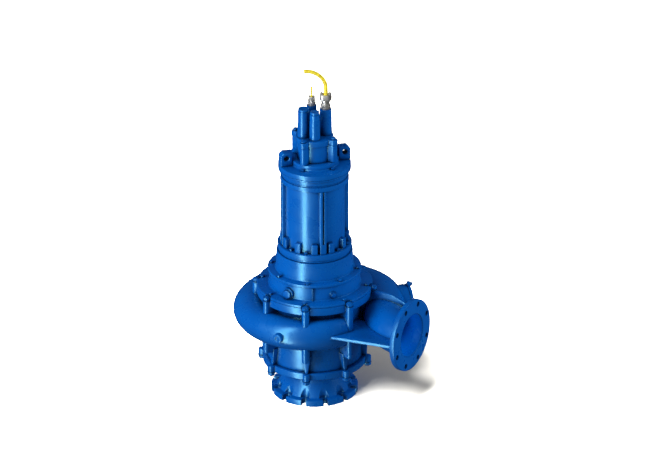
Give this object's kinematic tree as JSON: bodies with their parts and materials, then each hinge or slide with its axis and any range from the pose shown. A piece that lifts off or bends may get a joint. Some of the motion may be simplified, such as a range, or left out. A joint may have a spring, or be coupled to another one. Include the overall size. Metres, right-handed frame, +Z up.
{
  "type": "submersible pump",
  "caption": "Submersible pump with a vertical motor on a spiral casing, a side outlet flange, a slotted suction flange below and cable stubs on top.",
  "frame": {"origin": "middle of the pump's box on the floor, measured without the cables", "axes": "+Z up along the shaft, +X the way the outlet flange faces, +Y to the back"},
  "size_m": [0.9136, 0.7896, 1.6244],
  "materials": {
    "blue_paint": "satin blue paint on cast iron",
    "gland_steel": "bare stainless steel",
    "bare_iron": "as cast, darkened",
    "power_cable": "matt yellow sheath",
    "control_cable": "matt yellow sheath"
  },
  "bodies": {
    "root": {"bearing_bracket": "blue_paint", "blind_cap_front": "blue_paint", "blind_cap_left": "blue_paint", "casing_cover": "blue_paint", "cleaning_plug": "blue_paint", "control_cable": "control_cable", "control_gland": "gland_steel", "control_gland_saddle": "gland_steel", "end_cover": "blue_paint", "entry_tower_front": "blue_paint", "entry_tower_left": "blue_paint", "entry_tower_rear": "blue_paint", "entry_tower_right": "blue_paint", "handhole_cover": "blue_paint", "impeller": "bare_iron", "lifting_lug_back": "blue_paint", "lifting_lug_front": "blue_paint", "motor_head_ring": "blue_paint", "motor_housing": "blue_paint", "oil_plug_front": "blue_paint", "oil_plug_side": "blue_paint", "power_cable": "power_cable", "power_gland": "gland_steel", "power_gland_saddle": "gland_steel", "suction_cover": "blue_paint", "terminal_cover": "blue_paint", "terminal_housing": "blue_paint", "volute_casing": "blue_paint", "wear_plate": "bare_iron"}
  },
  "joints": []
}
